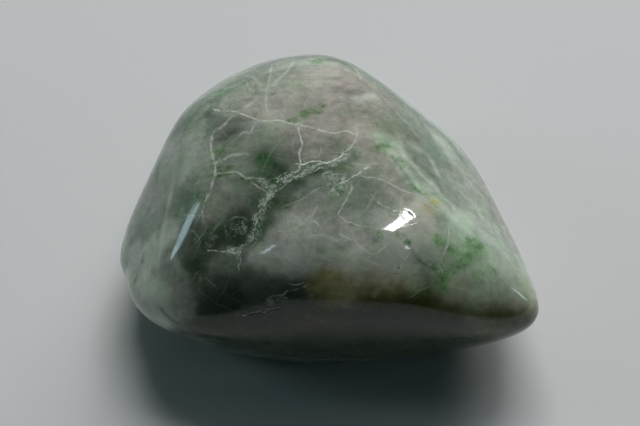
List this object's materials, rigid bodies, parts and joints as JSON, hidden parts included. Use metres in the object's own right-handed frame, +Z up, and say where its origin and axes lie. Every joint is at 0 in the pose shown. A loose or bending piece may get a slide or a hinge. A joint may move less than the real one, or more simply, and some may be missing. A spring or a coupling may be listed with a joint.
{
  "type": "polished jade stone",
  "caption": "Palm-sized tumbled jade stone with a broad worn top, a pointed end and a small flat that it rests on.",
  "frame": {"origin": "on the plane that the stone rests on, under the middle of the stone's outline box", "axes": "+Z up from the flat that the stone rests on; +X along the stone's long way, towards its pointed end; -Y is the steep side that faces the viewer"},
  "size_m": [0.0606, 0.0487, 0.0304],
  "materials": {
    "polished_jade": "polished grey-green jade, faintly translucent, with white veins, bright green patches, dark green pockets and a few rough open fissures"
  },
  "bodies": {
    "root": {"jade_stone": "polished_jade"}
  },
  "joints": []
}
